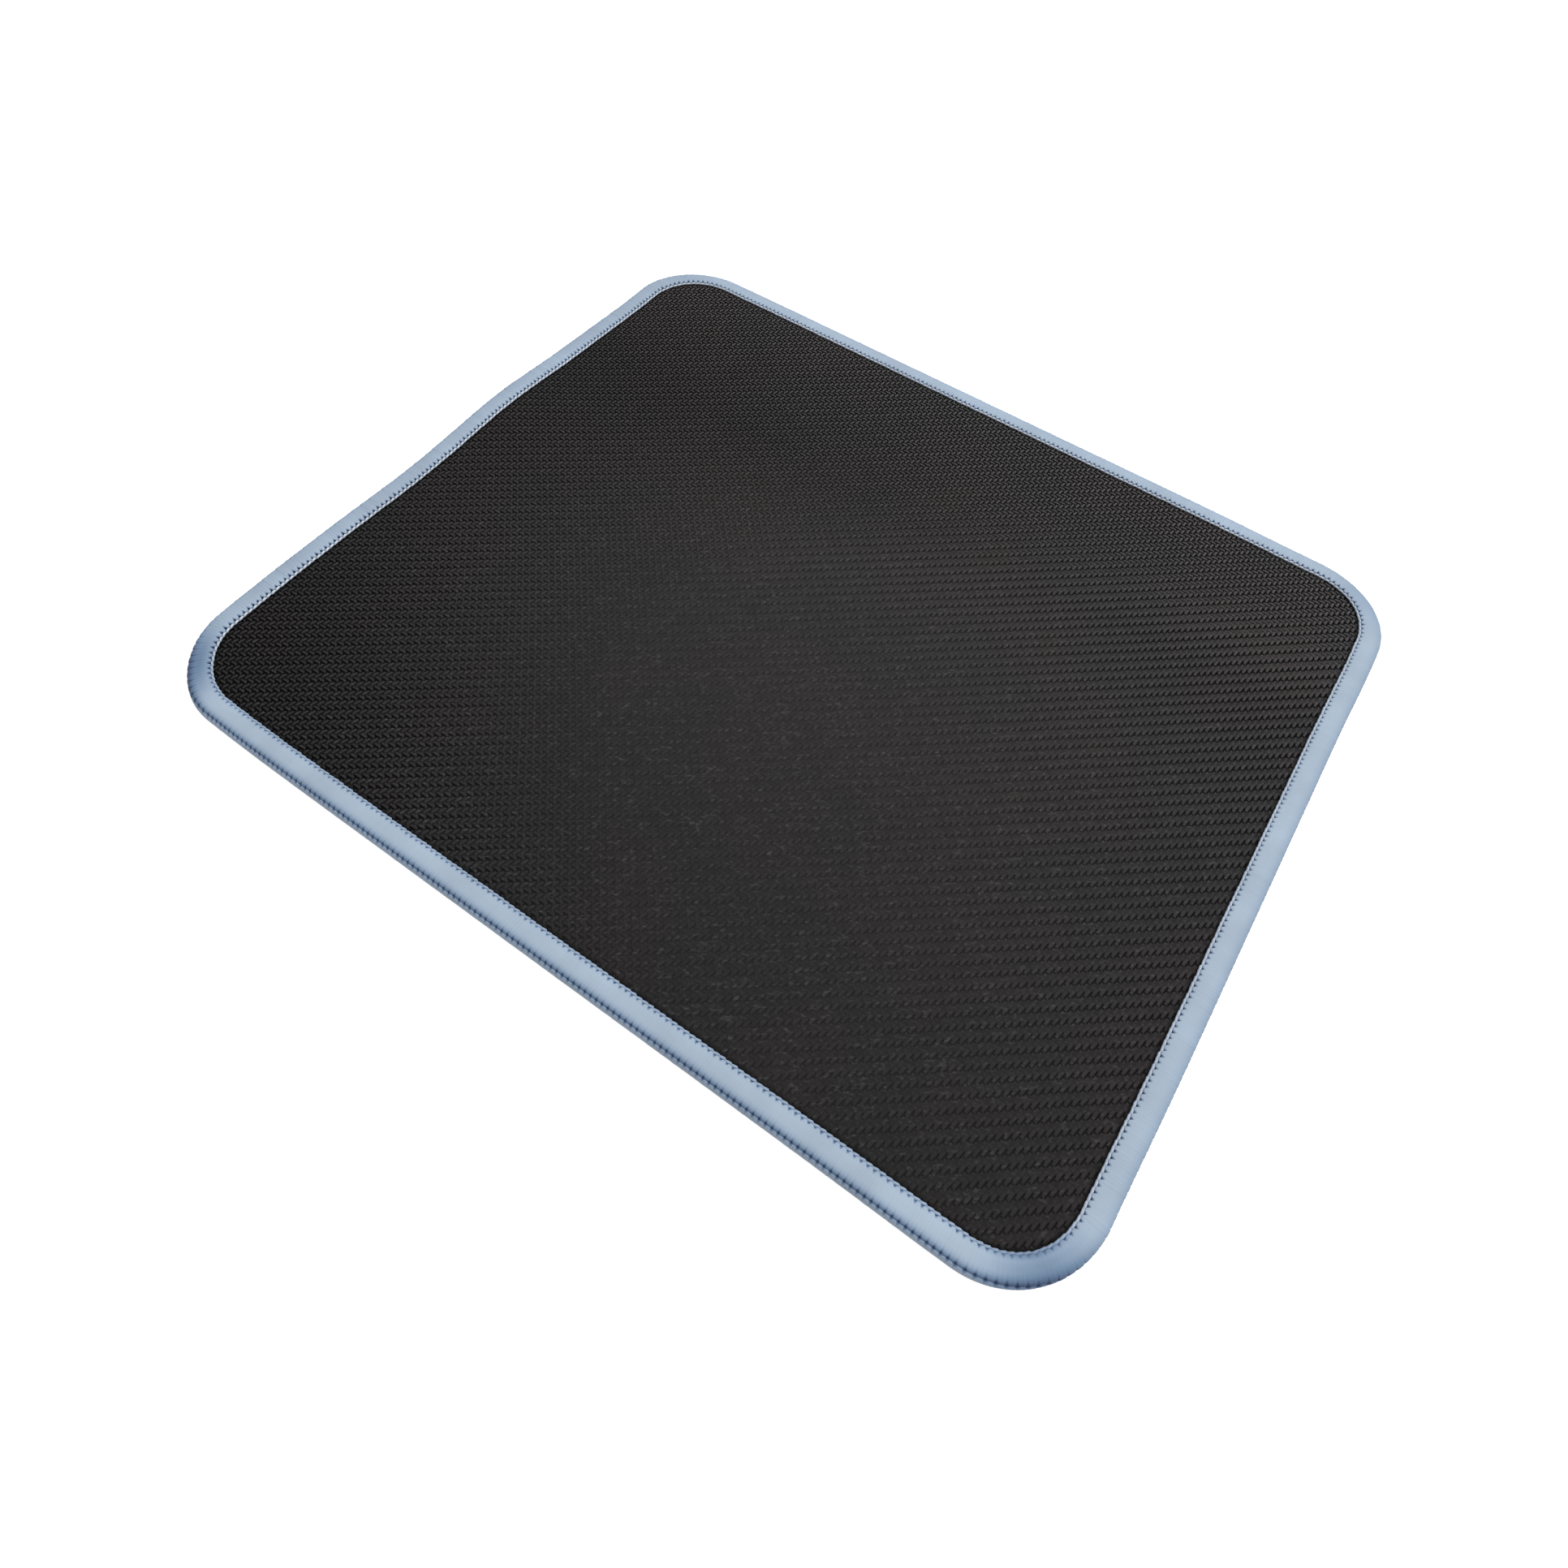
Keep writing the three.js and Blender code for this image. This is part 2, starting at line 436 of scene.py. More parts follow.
def add_scaled(tree, vector, scale):
    node = add_node(tree, "ShaderNodeMapping", Scale=scale)
    tree.links.new(vector, node.inputs["Vector"])
    return node.outputs["Vector"]


def add_turned(tree, vector, angle, size):
    """Places turned about the upright axis and measured in a cell's size."""
    node = add_node(tree, "ShaderNodeMapping", vector_type="TEXTURE", Rotation=(0, 0, angle), Scale=size)
    tree.links.new(vector, node.inputs["Vector"])
    return node.outputs["Vector"]


def add_ramp(tree, value, *stops):
    """A colour that runs through stops (position, colour) as a value rises."""
    node = tree.nodes.new("ShaderNodeValToRGB")
    ramp = node.color_ramp
    for element, (position, colour) in zip(ramp.elements, (stops[0], stops[-1])):
        element.position = position
        element.color = (*colour, 1)
    for position, colour in stops[1:-1]:
        ramp.elements.new(position).color = (*colour, 1)
    tree.links.new(value, node.inputs["Fac"])
    return node.outputs["Color"]


def add_mix(tree, share, first, second):
    """A mix of two sockets, or of a socket and a colour, by the value of a third."""
    node = add_node(tree, "ShaderNodeMix", data_type="RGBA")
    tree.links.new(share, node.inputs["Factor"])
    tree.links.new(first, node.inputs["A"])
    if isinstance(second, tuple):
        node.inputs["B"].default_value = (*second, 1)
    else:
        tree.links.new(second, node.inputs["B"])
    return node.outputs["Result"]


def add_blend(tree, blend, first, second):
    """Two colours multiplied or added."""
    node = add_node(tree, "ShaderNodeMix", data_type="RGBA", blend_type=blend, Factor=1.0)
    tree.links.new(first, node.inputs["A"])
    tree.links.new(second, node.inputs["B"])
    return node.outputs["Result"]


def add_range(tree, value, source, target):
    """A value moved from one range (low, high) to another."""
    node = tree.nodes.new("ShaderNodeMapRange")
    for name, number in zip(("From Min", "From Max", "To Min", "To Max"), (*source, *target)):
        node.inputs[name].default_value = number
    tree.links.new(value, node.inputs["Value"])
    return node.outputs["Result"]


def add_bump(tree, shader, height, distance, strength):
    node = add_node(tree, "ShaderNodeBump", Distance=distance, Strength=strength)
    tree.links.new(height, node.inputs["Height"])
    tree.links.new(node.outputs["Normal"], shader.inputs["Normal"])


def add_attribute(tree, name):
    return add_node(tree, "ShaderNodeAttribute", attribute_name=name).outputs["Fac"]


def object_place(tree):
    return tree.nodes.new("ShaderNodeTexCoord").outputs["Object"]


def cloth_material():
    """Black polyester yarn with fibres, with painted sheen that lightens it towards the back, painted
    glints, and painted shade that blackens the gaps between floats.
    """
    material, tree, shader = new_material("woven_black_yarn", YARN_BLACK, roughness=0.66, specular=0.04)
    place = object_place(tree)
    axes = tree.nodes.new("ShaderNodeSeparateXYZ")
    tree.links.new(place, axes.inputs["Vector"])
    # Painted sheen: the yarn's colour lightens towards the back of the cloth
    back = add_range(tree, axes.outputs["Y"], (-HALF[1], HALF[1]), (0, 1))
    patches = add_noise(tree, place, scale=22.0, detail=2.0)
    warmth = add_ramp(tree, patches, (0.4, grey(1)), (0.62, (1.12, 1, 1.01)))
    yarn = add_blend(tree, "MULTIPLY", add_ramp(tree, back, *YARN_AND_SHEEN_TINTS), warmth)
    tone = add_ramp(tree, add_attribute(tree, "tone"), (0, grey(0.9)), (1, grey(1.3)))
    yarn = add_blend(tree, "MULTIPLY", yarn, tone)
    # Painted glints on the crowns of the yarn
    glints = add_noise(tree, add_turned(tree, place, TWILL_ANGLE, GLINT_SIZE), detail=1.0)
    light = add_ramp(tree, glints, (0.58, grey(0)), (0.8, grey(GLINT_LIGHT)))
    yarn = add_blend(tree, "ADD", yarn, light)
    # Painted shade: the gaps between floats, the joints, seams and lines of the weave, and the edge by the
    # stitching go dark
    shade = add_ramp(tree, add_attribute(tree, "painted_shade"), *GAP_SHADES)
    tree.links.new(add_blend(tree, "MULTIPLY", yarn, shade), shader.inputs["Base Color"])
    weft = add_noise(tree, add_scaled(tree, place, WEFT_FIBRES))
    warp = add_noise(tree, add_scaled(tree, place, WARP_FIBRES))
    fibre = add_mix(tree, add_attribute(tree, "warp"), weft, warp)
    tree.links.new(add_range(tree, fibre, (0.3, 0.7), (0.58, 0.76)), shader.inputs["Roughness"])
    add_bump(tree, shader, fibre, distance=0.05 * MM, strength=0.6)
    return material


def thread_material(name, colour):
    """Soft textured thread: fibres run across the rim, and painted shade takes its folds and holes to steel
    blue, navy and then black.
    """
    material, tree, shader = new_material(name, colour, roughness=0.6, specular=0.3)
    shader.inputs["Sheen Weight"].default_value = 0.15
    shader.inputs["Sheen Roughness"].default_value = 0.4
    rim = add_node(tree, "ShaderNodeUVMap", uv_map="Rim").outputs["UV"]
    fibre = add_noise(tree, add_scaled(tree, rim, THREAD_FIBRES))
    patches = add_noise(tree, object_place(tree), scale=90.0, detail=2.0)
    dark = tuple(THREAD_DARK * level for level in colour)
    light = tuple(THREAD_LIGHT * level for level in colour)
    tint = add_ramp(tree, patches, (0.3, dark), (0.7, light))
    streaks = add_ramp(tree, fibre, (0.25, (0.95, 0.96, 0.97)), (0.75, grey(1.03)))
    thread = add_blend(tree, "MULTIPLY", tint, streaks)
    # Painted shade in the folds, holes and grooves of the thread
    painted_shade = add_ramp(tree, add_attribute(tree, "painted_shade"), *FOLD_SHADES)
    tree.links.new(add_blend(tree, "MULTIPLY", thread, painted_shade), shader.inputs["Base Color"])
    tree.links.new(add_range(tree, fibre, (0.3, 0.7), (0.52, 0.68)), shader.inputs["Roughness"])
    add_bump(tree, shader, fibre, distance=0.03 * MM, strength=0.3)
    return material


def rubber_material():
    """Black foamed rubber with fine pores."""
    material, tree, shader = new_material("foamed_black_rubber", RUBBER_BLACK, roughness=0.85, specular=0.3)
    pores = add_noise(tree, object_place(tree), scale=1600.0, detail=4.0, roughness=0.7)
    tint = add_ramp(tree, pores, (0.35, (0.008, 0.008, 0.0085)), (0.65, (0.019, 0.019, 0.02)))
    tree.links.new(tint, shader.inputs["Base Color"])
    tree.links.new(add_range(tree, pores, (0.3, 0.7), (0.92, 0.76)), shader.inputs["Roughness"])
    add_bump(tree, shader, pores, distance=0.08 * MM, strength=0.5)
    return material


def film_material():
    """Cream adhesive film, a little uneven."""
    material, tree, shader = new_material("cream_film", FILM_CREAM, roughness=0.5, specular=0.4)
    cloud = add_noise(tree, object_place(tree), scale=120.0)
    tint = add_ramp(tree, cloud, (0.3, (0.64, 0.61, 0.53)), (0.7, (0.72, 0.69, 0.61)))
    tree.links.new(tint, shader.inputs["Base Color"])
    add_bump(tree, shader, cloud, distance=0.05 * MM, strength=0.3)
    return material


# Woven cloth

# Two-and-two twill: size of a crossing, and how the warp yarns shift, lean and bow
CELL = np.array([1.116, 1.047]) * MM
WARP_SHIFT = 0.3
WARP_LEAN = 0.167
WARP_BOW = 0.31

# Repeat of the twill in crossings, where in it floats start, and spare yarns past the pad's edge
TWILL_REPEAT = 4
WEFT_START = 3
WARP_START = 2
SPARE_WARPS = 6
SPARE_WEFTS = 3
GRID_STEPS = 100

# Half lengths of the gaps in front of weft floats and beside warp floats, in cells
FRONT_HALF = 0.5
SIDE_HALF = 0.88

# Depths and painted shade of the gaps, the joints where floats meet, the seams and the lines across the
# weft
GAP_DEPTH = 0.24 * MM
JOINT_DEPTH = 0.2 * MM
JOINT_FOLD = 0.4
SEAM_FOLD = 0.1
LINE_SHARE = 0.36
LINE_DEPTH = 0.4
LINE_MOST = 1.2
CROWN_JITTER = 0.03 * MM
CLOTH_FLOOR = 0.1 * MM
OPEN_LIFT = 0.55

# Edge of the woven face, pulled down by the stitching, with painted shadow beside it
WEAVE_INSET = 6.0 * MM
STITCH_DIP = 0.25 * MM
STITCH_DIP_WIDTH = 1.3 * MM
STITCH_SHADE = (6.6 * MM, 7.4 * MM)
STITCH_FOLD = 0.5
HIDDEN_FOLD = 0.4

# Where the gaps in front of weft floats and beside warp floats are closed, and how far off they open
FRONT_GAPS = {
    "closed": (149 * MM, -20 * MM), "across": 157 * MM, "front": 88 * MM, "rear": 72 * MM,
    "lean": 0.0, "least": -1.2,
}
SIDE_GAPS = {
    "closed": (1 * MM, -40 * MM), "across": 152 * MM, "front": 250 * MM, "rear": 112 * MM,
    "lean": 0.6, "least": 0.24,
}
CLOSED_GAP = 0.15
WIDEST_GAP = 2.8

# Small place in the bake map for the hidden side of the cloth, whose walls are spread outwards
SMALL_SCALE = 0.1
SMALL_PLACE = (0.02, 0.87)
SMALL_MARGIN = 1.1
WALL_SPREAD = 0.05


def float_edge(own, cross):
    """Points round a float two cells long and one wide, by half lengths of its own and crossing gaps."""
    return np.array([
        (0, 0), (1 - own, 0), (1, 0), (1 + own, 0), (2, 0),
        (2, 1), (2 - own, 1), (1, 1), (0, 1), (0, 1 - cross),
    ])


def float_crown(end, front, rear):
    """Points on top of a float, given how far in from its ends, front and rear they lie."""
    return np.array([
        (end, front), (1, front), (2 - end, front),
        (2 - end, 1 - rear), (1, 1 - rear), (end, 1 - rear),
    ])


WEFT_EDGE = float_edge(own=FRONT_HALF, cross=SIDE_HALF)
WARP_EDGE = float_edge(own=SIDE_HALF, cross=FRONT_HALF)
WEFT_CROWN = float_crown(end=0.26, front=0.4, rear=0.34)
WARP_CROWN = float_crown(end=0.26, front=0.34, rear=0.28)
EDGE_COUNT = len(WEFT_EDGE)
FLOAT_POINTS = EDGE_COUNT + len(WEFT_CROWN)

# Points of a float by number: on its own gaps, on the crossing gap, at crossings, and mid-crown
OWN_GAP = (1, 2, 3, 5, 6)
CROSS_GAP = (8, 9)
LATTICE = (0, 2, 4, 5, 7, 8)
CROWN_MIDDLE = (EDGE_COUNT + 1, EDGE_COUNT + 4)

# Triangles of a crown, by the crown's own points
CROWN_FACES = ((0, 1, 4), (0, 4, 5), (1, 2, 3), (1, 3, 4))


def float_faces():
    """Triangles of one float: each stretch of its edge joined to the nearest corner of its crown."""
    apart = np.linalg.norm(WEFT_EDGE[:, None] - WEFT_CROWN[None], axis=-1)
    near = EDGE_COUNT + apart.argmin(axis=1)
    faces = [tuple(EDGE_COUNT + corner for corner in face) for face in CROWN_FACES]
    for here in range(EDGE_COUNT):
        after = (here + 1) % EDGE_COUNT
        faces.append((here, after, near[here]))
        if near[after] != near[here]:
            faces.append((after, near[after], near[here]))
    return np.array(faces)


def weave_place(i, j):
    """Place in plan of a point of the weave: i counts warp yarns and j counts weft yarns."""
    y = j * CELL[1]
    x = (i + WARP_SHIFT) * CELL[0] + WARP_LEAN * y - WARP_BOW * y * y
    return np.stack([x, y], axis=-1)


def weave_grid():
    """Grid places of the points of every float, weft floats first, and which floats are warp."""
    warps, wefts = np.ceil(HALF / CELL).astype(int) + (SPARE_WARPS, SPARE_WEFTS)
    warps += int(WARP_LEAN * HALF[1] / CELL[0])
    i, j = np.meshgrid(np.arange(-warps, warps), np.arange(-wefts, wefts), indexing="ij")
    first = np.stack([i, j], axis=-1)
    step = (i - j) % TWILL_REPEAT
    weft = first[step == WEFT_START]
    warp = first[step == WARP_START]
    along = np.concatenate([WEFT_EDGE, WEFT_CROWN])
    turned = np.array([1, 2]) - np.concatenate([WARP_EDGE, WARP_CROWN])[:, ::-1]
    grid = np.concatenate([weft[:, None] + along, warp[:, None] + turned])
    return grid, np.arange(len(grid)) >= len(weft)


def shared_places(grid):
    """First point at each place of the grid, and the number of the place of every point."""
    steps = np.round(grid.reshape(-1, 2) * GRID_STEPS).astype(np.int64)
    stride = 4 * np.abs(steps).max()
    keys = steps[:, 0] * stride + steps[:, 1]
    _, first, index = np.unique(keys, return_index=True, return_inverse=True)
    return first, index


def gap_share(plan, gaps):
    """How open one kind of gap is: 0 where the cloth is pressed flat, 1 at full depth, then wider."""
    off = plan - np.array(gaps["closed"])
    across = (off[:, 0] + gaps["lean"] * np.minimum(off[:, 1], 0)) / gaps["across"]
    along = off[:, 1] / np.where(off[:, 1] < 0, gaps["front"], gaps["rear"])
    return np.clip(gaps["least"] + across ** 2 + along ** 2, CLOSED_GAP, WIDEST_GAP)


def weave_relief(role, of_warp, front, side):
    """Depth below the crowns, and painted shade, of points by their number in a float and how open the gaps
    are.
    """
    own = np.isin(role, OWN_GAP)
    cross = np.isin(role, CROSS_GAP)
    crown = role >= EDGE_COUNT
    own_open = np.where(of_warp, side, front)
    cross_open = np.where(of_warp, front, side)
    gap = np.where(own, own_open, np.where(cross, cross_open, 0))
    joint = ~(own | cross | crown) * np.minimum(front, 1) * np.minimum(side, 1)
    on_line = np.isin(role, LATTICE) | (np.isin(role, CROWN_MIDDLE) & ~of_warp)
    line = LINE_SHARE * on_line * np.minimum(side, LINE_MOST) * np.clip(1 - front, 0, 1)
    sunk = np.maximum(np.minimum(gap, 1), LINE_DEPTH * np.minimum(line, 1) * crown)
    painted_shade = np.max([gap, JOINT_FOLD * joint, SEAM_FOLD * ~crown, line], axis=0)
    return GAP_DEPTH * sunk + JOINT_DEPTH * joint, painted_shade


def woven_face():
    """Points, triangles, warp and tone of each triangle, and painted shade of the woven face."""
    grid, is_warp = weave_grid()
    floats = len(grid)
    each = float_faces()
    first, index = shared_places(grid)
    faces = index.reshape(floats, FLOAT_POINTS)[:, each]
    triangles = np.where(is_warp[:, None, None], faces[..., ::-1], faces).reshape(-1, 3)
    plan = weave_place(*grid.reshape(-1, 2)[first].T)
    role = np.tile(np.arange(FLOAT_POINTS), floats)[first]
    of_warp = np.repeat(is_warp, FLOAT_POINTS)[first]
    depth, painted_shade = weave_relief(role, of_warp, gap_share(plan, FRONT_GAPS), gap_share(plan, SIDE_GAPS))
    jitter = rng.normal(0, CROWN_JITTER, len(plan)) * (role >= EDGE_COUNT)
    points = np.column_stack([plan, CLOTH_TOP + jitter - depth])
    centres = weave_place(*grid.mean(axis=1).T)
    lift = np.maximum(gap_share(centres, FRONT_GAPS), gap_share(centres, SIDE_GAPS))
    tone = OPEN_LIFT * np.minimum(lift, 1) + (1 - OPEN_LIFT) * rng.random(floats)
    values = np.repeat(np.stack([is_warp, tone], axis=1), len(each), axis=0)
    return points, triangles, values, painted_shade


def cloth_piece(material):
    """The woven face, with plain walls under the rim and a plain underside."""
    points, triangles, values, painted_shade = woven_face()
    points, triangles, outside, used, kept = inside_outline(points, triangles, WEAVE_INSET)
    inset, outward = inset_and_outward(points[:, :2])
    inset -= needle_stray(outward)
    points[:, 2] -= STITCH_DIP * bell(inset - WEAVE_INSET, STITCH_DIP_WIDTH)
    points[outside, 2] = CLOTH_TOP - STITCH_DIP - JOINT_DEPTH
    points[:, 2] = np.maximum(points[:, 2], CLOTH_BOTTOM + CLOTH_FLOOR)
    # Painted shadow on the cloth beside the stitching
    painted_shade = np.maximum(painted_shade[used], STITCH_FOLD * (1 - smoothstep(*STITCH_SHADE, inset)))
    woven_points = len(points)
    woven_faces = len(triangles)
    rings = [
        (LAMINATE_INSET, CLOTH_TOP - JOINT_DEPTH),
        (LAMINATE_INSET, CLOTH_BOTTOM),
    ]
    points, triangles = closed_by_rings(points, triangles, rings)
    points = squeezed(points)
    piece = mesh_piece("woven_cloth", points, triangles, "cloth_top", material)
    plain = np.zeros(len(triangles) - woven_faces)
    for name, column in zip(("warp", "tone"), values[kept].T):
        set_attribute(piece, name, np.append(column, plain), "FACE")
    hidden = np.full(len(points) - woven_points, HIDDEN_FOLD)
    set_attribute(piece, "painted_shade", np.append(painted_shade, hidden), "POINT")
    ring = len(hidden) // (len(rings) + len(HIDDEN_SHARES))
    place_cloth_map(piece, points, triangles, woven_points + ring)
    return piece


def place_cloth_map(piece, points, triangles, first_hidden):
    """Bake map: the woven face seen from above, and the hidden walls and underside small beside it."""
    span = 2 * HALF[0]
    top = (points[:, :2] + HALF) / span
    height = (points[:, 2] - CLOTH_BOTTOM) / (CLOTH_TOP - CLOTH_BOTTOM)
    spread = 1 + WALL_SPREAD * np.clip(height, 0, 1)
    under = (points[:, :2] * spread[:, None] + HALF * SMALL_MARGIN) / span * SMALL_SCALE + SMALL_PLACE
    hidden = (triangles >= first_hidden).any(axis=1)
    set_map(piece, "OFBake", np.where(hidden[:, None, None], under[triangles], top[triangles]))


# Film and rubber

FILM_CELL = 6 * MM
RUBBER_STEP_INSET = 6.7 * MM
TREAD_CELL = 0.8 * MM
TREAD_DEPTH = 0.18 * MM


def square_grid(cell):
    """Counts across and along of the points of a square grid over the pad, and triangles facing up."""
    across, along = np.ceil(HALF / cell).astype(int) + 1
    i, j = np.meshgrid(np.arange(-across, across + 1), np.arange(-along, along + 1), indexing="ij")
    number = np.arange(i.size).reshape(i.shape)
    corners = (number[:-1, :-1], number[1:, :-1], number[1:, 1:], number[:-1, 1:])
    quads = np.stack(corners, axis=-1).reshape(-1, 4)
    triangles = np.concatenate([quads[:, [0, 1, 2]], quads[:, [0, 2, 3]]])
    return i.ravel(), j.ravel(), triangles


def film_piece(material):
    """Adhesive film: a plain thin sheet."""
    i, j, triangles = square_grid(FILM_CELL)
    points = np.column_stack([i * FILM_CELL, j * FILM_CELL, np.full(len(i), film_high.z)])
    points, triangles, *_ = inside_outline(points, triangles, LAMINATE_INSET)
    points, triangles = closed_by_rings(points, triangles, [(LAMINATE_INSET, film_low.z)])
    return mesh_piece("adhesive_film", squeezed(points), triangles, "bond_film", material)


def rubber_piece(material):
    """Foamed rubber: a fine diamond tread underneath, stepped up under the stitching."""
    i, j, triangles = square_grid(TREAD_CELL)
    hollow = TREAD_DEPTH * ((i + j) % 2)
    points = np.column_stack([i * TREAD_CELL, j * TREAD_CELL, rubber_low.z + hollow])
    points, triangles, outside, *_ = inside_outline(points, triangles[:, ::-1], RUBBER_STEP_INSET)
    points[outside, 2] = rubber_low.z
    rings = [
        (RUBBER_STEP_INSET, rubber_low.z + UNDER_COVER),
        (LAMINATE_INSET, rubber_low.z + UNDER_COVER),
        (LAMINATE_INSET, rubber_high.z),
    ]
    points, triangles = closed_by_rings(points, triangles, rings)
    points = squeezed(points)
    piece = mesh_piece("foam_rubber_base", points, triangles, "rubber_base", material)
    return piece


# Stitched rim

def along_rim(front=0, right=0, rear=0, left=0, **corners):
    """A value at each station: blended from the four sides, with more or less at named corners."""
    sides = {"front": front, "right": right, "rear": rear, "left": left}
    added = {name: corners.get(name + "_corner", 0) for name in sides}
    return (by_side(RIM_OUT, sides) + by_corner(RIM_OUT, added))[:, None]


# Courses of the threads: needle line, inner side of the loopers, rounded edge and level of the cloth
NEEDLE_LINE = NEEDLE_INSET + needle_stray(RIM_OUT)[:, None]
INNER_LINE = LOOPER_INNER + needle_stray(RIM_OUT)[:, None]
EDGE_RADIUS = along_rim(**EDGE_TOPS) / 2
CLOTH_LEVEL = CLOTH_TOP * thickness_share(np.full(STATIONS, NEEDLE_INSET), RIM_OUT)[:, None]

# Holes beside the needle line: reach outwards, width, depth, painted shade and softness
NOTCH_REACH = along_rim(front=0.9, right=0.85, rear=1.15, left=1.25) * MM
NEEDLE_PINCH = along_rim(front=0.2, right=0.18, rear=0.21, left=0.19)
NOTCH_DEPTH = along_rim(front=0.3, right=0.4, rear=0.45, left=0.55, front_corner=-0.22) * MM
NOTCH_FOLD = along_rim(front=0.45, right=0.7, rear=1.0, left=1.0, front_corner=-0.45)
NOTCH_SOFT = along_rim(front=0.45, front_corner=0.25)
NOTCH_FULL = 0.15
NOTCH_EDGE = (0.95, 1.2)
NOTCH_STRETCH = (0.8, 1.25)

# Purl line, where the loopers lock: place on the rounded edge, gaps, tuck and shade
PURL_ANGLE = np.radians(along_rim(front=50, right=8, rear=20, left=42, left_corner=-18))
PURL_REACH = 0.65 * MM
PURL_SPREAD = PURL_REACH + along_rim(left_corner=0.7) * MM
PURL_FOLD = 0.65 + along_rim(left_corner=0.3)
PURL_PINCH = 0.2
PURL_NOTCH_DEPTH = 0.3 * MM
PURL_TUCK = 0.08 * MM
PURL_TUCK_REACH = 0.5 * MM
PURL_SHADE = 0.09
PURL_LINE = 0.6 * MM
PURL_LINE_SHADE = 0.14

# Strands of the loopers: crown of the band, a strand's place and half width in stitches, ribs with painted
# shade in their grooves, unevenness
CROWN_BULGE = along_rim(front=0.2, right=0.2, rear=0.28, left=0.35) * MM
BULGE_SKEW = 0.65
INNER_RISE = 0.4 * MM
STRAND_PLACE = 0.25
STRAND_HALF = 0.27
RIB_HEIGHT = along_rim(front=0.012, right=0.016, rear=0.06, left=0.055) * MM
RIB_SPREAD = (0.3, 1.7)
RIB_FOLD = 1.0 / MM
UNEVEN = along_rim(front=0.04, right=0.05, rear=0.08, left=0.1) * MM
UNEVEN_SPREAD = (-0.5, 0.5)

# Shades of the band: towards the edge, all over it, and beside the needle line
EDGE_SHADE = along_rim(front=0.28, right=0.12, rear=0.03, left=0.03, left_corner=0.2, front_corner=0.05)
EDGE_SHADE_START = 3.0 * MM
BAND_SHADE = along_rim(
    right=0.01, rear=0.03, left=0.035,
    left_corner=0.33, front_corner=0.27, right_corner=0.09, rear_corner=0.05,
)
BAND_FADE = 0.5
INNER_SHADE = along_rim(front=0.05, front_corner=0.17)
INNER_SHADE_REACH = 1.3 * MM

# Points of the sections: over the crown, closer together by the needle line, round the edge and under
CROWN_POINTS = 14
CROWN_CLOSE = 1.5
UPPER_EDGE_POINTS = 8
LOWER_EDGE_POINTS = 11
UNDER_POINTS = 6

# Hidden backs of the looper covers: how far in from the edge, down or up, and past the laminate they lie
UPPER_BACK_IN = 0.9 * MM
UPPER_BACK_DROP = 0.3 * MM
UPPER_BACK_SINK = 0.45 * MM
UPPER_BACK_STEP = 0.6 * MM
LOWER_BACK_IN = 0.7 * MM
LOWER_BACK_DROP = 0.5 * MM
LOWER_BACK_RISE = 0.1 * MM
LOWER_BACK_STEP = 0.5 * MM


def per_stitch(low, high):
    """A random value for each stitch, at its stations."""
    return rng.uniform(low, high, STITCHES)[STITCH][:, None]


def edge_curve(start, end, count):
    """Insets and heights down the rounded edge, from one angle to another."""
    angle = start + (end - start) * np.linspace(0, 1, count)[None]
    return EDGE_RADIUS * (1 - np.cos(angle)), EDGE_RADIUS * (1 + np.sin(angle))


def strands(from_needle, from_purl, stretch):
    """Roundness of the looper strands, and how open the gaps are beside needle and purl line."""
    near_needle = NEEDLE_PINCH * (1 - smoothstep(NOTCH_FULL, 1.0, from_needle / (NOTCH_REACH * stretch)))
    near_purl = PURL_PINCH * np.exp(-from_purl / PURL_SPREAD)
    centre = STRAND_PLACE - near_needle + near_purl
    off = np.minimum(np.abs(wrapped(PHASE - centre)), np.abs(wrapped(PHASE + centre))) / STRAND_HALF
    rib = np.sqrt(np.clip(1 - off ** 2, 0, 1))
    gap = smoothstep(NOTCH_EDGE[0] - NOTCH_SOFT, NOTCH_EDGE[1] + NOTCH_SOFT / 2, off)
    needle_gap = gap * np.sqrt(near_needle / NEEDLE_PINCH) * (near_needle > near_purl)
    purl_gap = gap * near_purl / PURL_PINCH * (near_needle <= near_purl)
    return rib, needle_gap, purl_gap


def raised(insets, heights, rise):
    """A section moved along its own outward direction by a rise at each point."""
    step_in = np.gradient(insets, axis=1)
    step_up = np.gradient(heights, axis=1)
    length = np.maximum(np.hypot(step_in, step_up), TINY)
    return insets + step_up / length * rise, heights - step_in / length * rise


def reach_along(insets, heights):
    """Distance along a section from its first point."""
    steps = np.hypot(np.diff(insets, axis=1), np.diff(heights, axis=1))
    return np.concatenate([np.zeros((STATIONS, 1)), np.cumsum(steps, axis=1)], axis=1)


def looper_shade(insets, from_needle, from_purl):
    """Shade of a looper over the band, beside the needle line and along the purl line."""
    band = BAND_SHADE * (1 - BAND_FADE * smoothstep(EDGE_SHADE_START, NEEDLE_INSET, insets))
    inner = INNER_SHADE * (1 - smoothstep(0, INNER_SHADE_REACH, from_needle))
    purl = PURL_SHADE * np.exp(-from_purl / PURL_REACH) + PURL_LINE_SHADE * bell(from_purl, PURL_LINE)
    return band + inner + purl


